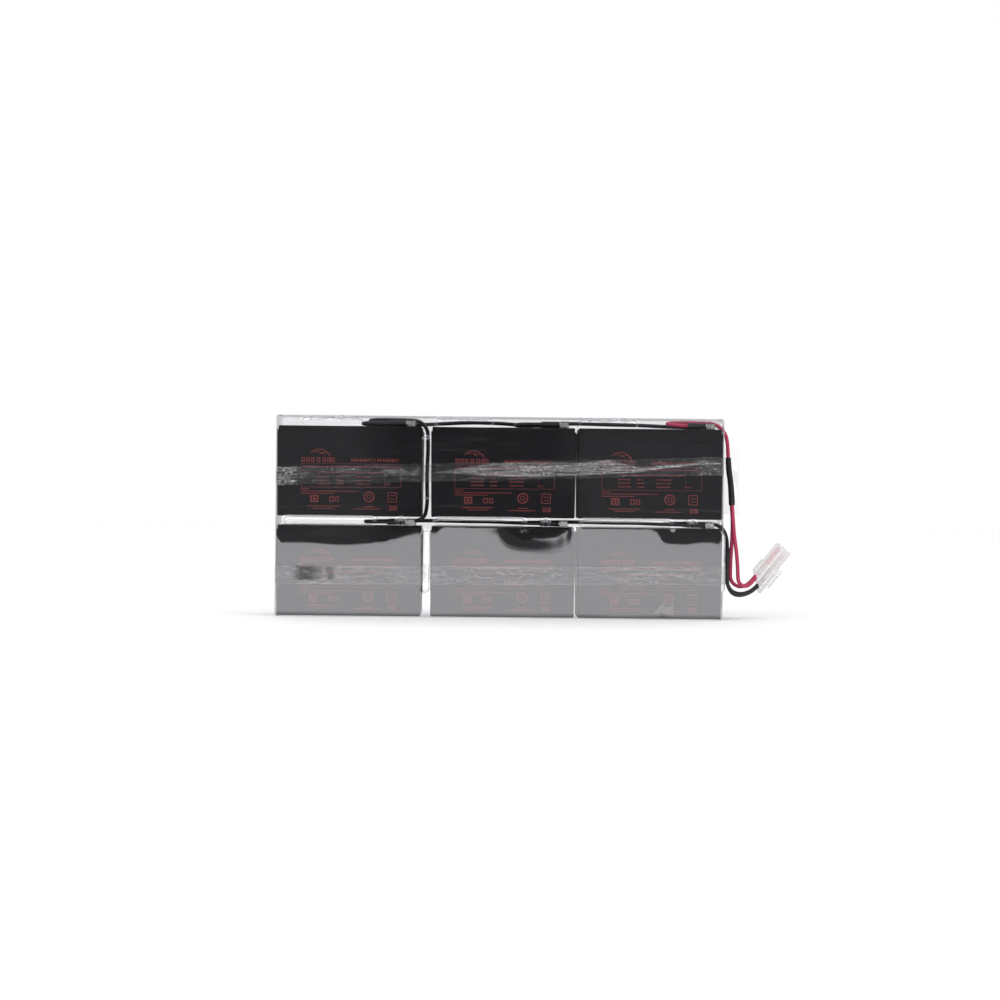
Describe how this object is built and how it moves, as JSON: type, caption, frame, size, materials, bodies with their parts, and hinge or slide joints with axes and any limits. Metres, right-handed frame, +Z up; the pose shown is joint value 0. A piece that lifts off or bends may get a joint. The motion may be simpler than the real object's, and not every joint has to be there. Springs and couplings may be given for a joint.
{
  "type": "ups battery cartridge",
  "caption": "Series string of sealed lead-acid blocks in a clear formed two-part shell, taped round, with a pull tab and red and black leads to a nylon plug.",
  "frame": {"origin": "middle of the footprint of the shell, tape and pull tab, on the floor", "axes": "+X along the pack towards the pull tab and plug, +Y from the front face to the rear face, +Z up, with the pack on its long edge"},
  "size_m": [0.5397, 0.0676, 0.2095],
  "materials": {
    "block_abs": "black moulded ABS, fine satin texture, printed in brick red",
    "clear_shell": "clear thermoformed PET sheet, glossy, slightly wavy",
    "clear_tape": "clear packing tape, wrinkled",
    "tinned_brass": "tin-plated brass",
    "clear_nylon": "clear nylon cover",
    "black_shrink": "black heat-shrink tube, satin",
    "red_jacket": "red silicone-soft wire jacket, satin",
    "black_jacket": "black wire jacket, satin",
    "plug_nylon": "natural milky nylon, moulded"
  },
  "bodies": {
    "root": {"black_branch_lead": "black_jacket", "black_inner_lead": "black_jacket", "black_lead_receptacle": "tinned_brass", "black_outer_lead": "black_jacket", "black_splice_sleeve": "black_shrink", "front_shell": "clear_shell", "jumper_1": "black_jacket", "jumper_1_receptacles": "tinned_brass", "jumper_2": "black_jacket", "jumper_2_receptacles": "tinned_brass", "jumper_3": "black_jacket", "jumper_3_receptacles": "tinned_brass", "jumper_4": "black_jacket", "jumper_4_receptacles": "tinned_brass", "jumper_5": "black_jacket", "jumper_5_receptacles": "tinned_brass", "lower_crimp_sleeves": "black_shrink", "lower_left_case": "block_abs", "lower_left_lid": "block_abs", "lower_left_terminals": "tinned_brass", "lower_left_vent_strip": "block_abs", "lower_middle_case": "block_abs", "lower_middle_lid": "block_abs", "lower_middle_terminals": "tinned_brass", "lower_middle_vent_strip": "block_abs", "lower_right_case": "block_abs", "lower_right_lid": "block_abs", "lower_right_terminals": "tinned_brass", "lower_right_vent_strip": "block_abs", "lower_tape": "clear_tape", "lower_terminal_covers": "clear_nylon", "plug_contacts": "tinned_brass", "plug_housing": "plug_nylon", "rear_shell": "clear_shell", "red_branch_lead": "red_jacket", "red_inner_lead": "red_jacket", "red_lead_receptacle": "tinned_brass", "red_outer_lead": "red_jacket", "red_splice_sleeve": "black_shrink", "upper_crimp_sleeves": "black_shrink", "upper_left_case": "block_abs", "upper_left_lid": "block_abs", "upper_left_terminals": "tinned_brass", "upper_left_vent_strip": "block_abs", "upper_middle_case": "block_abs", "upper_middle_lid": "block_abs", "upper_middle_terminals": "tinned_brass", "upper_middle_vent_strip": "block_abs", "upper_right_case": "block_abs", "upper_right_lid": "block_abs", "upper_right_terminals": "tinned_brass", "upper_right_vent_strip": "block_abs", "upper_tape": "clear_tape", "upper_terminal_covers": "clear_nylon"}
  },
  "joints": []
}
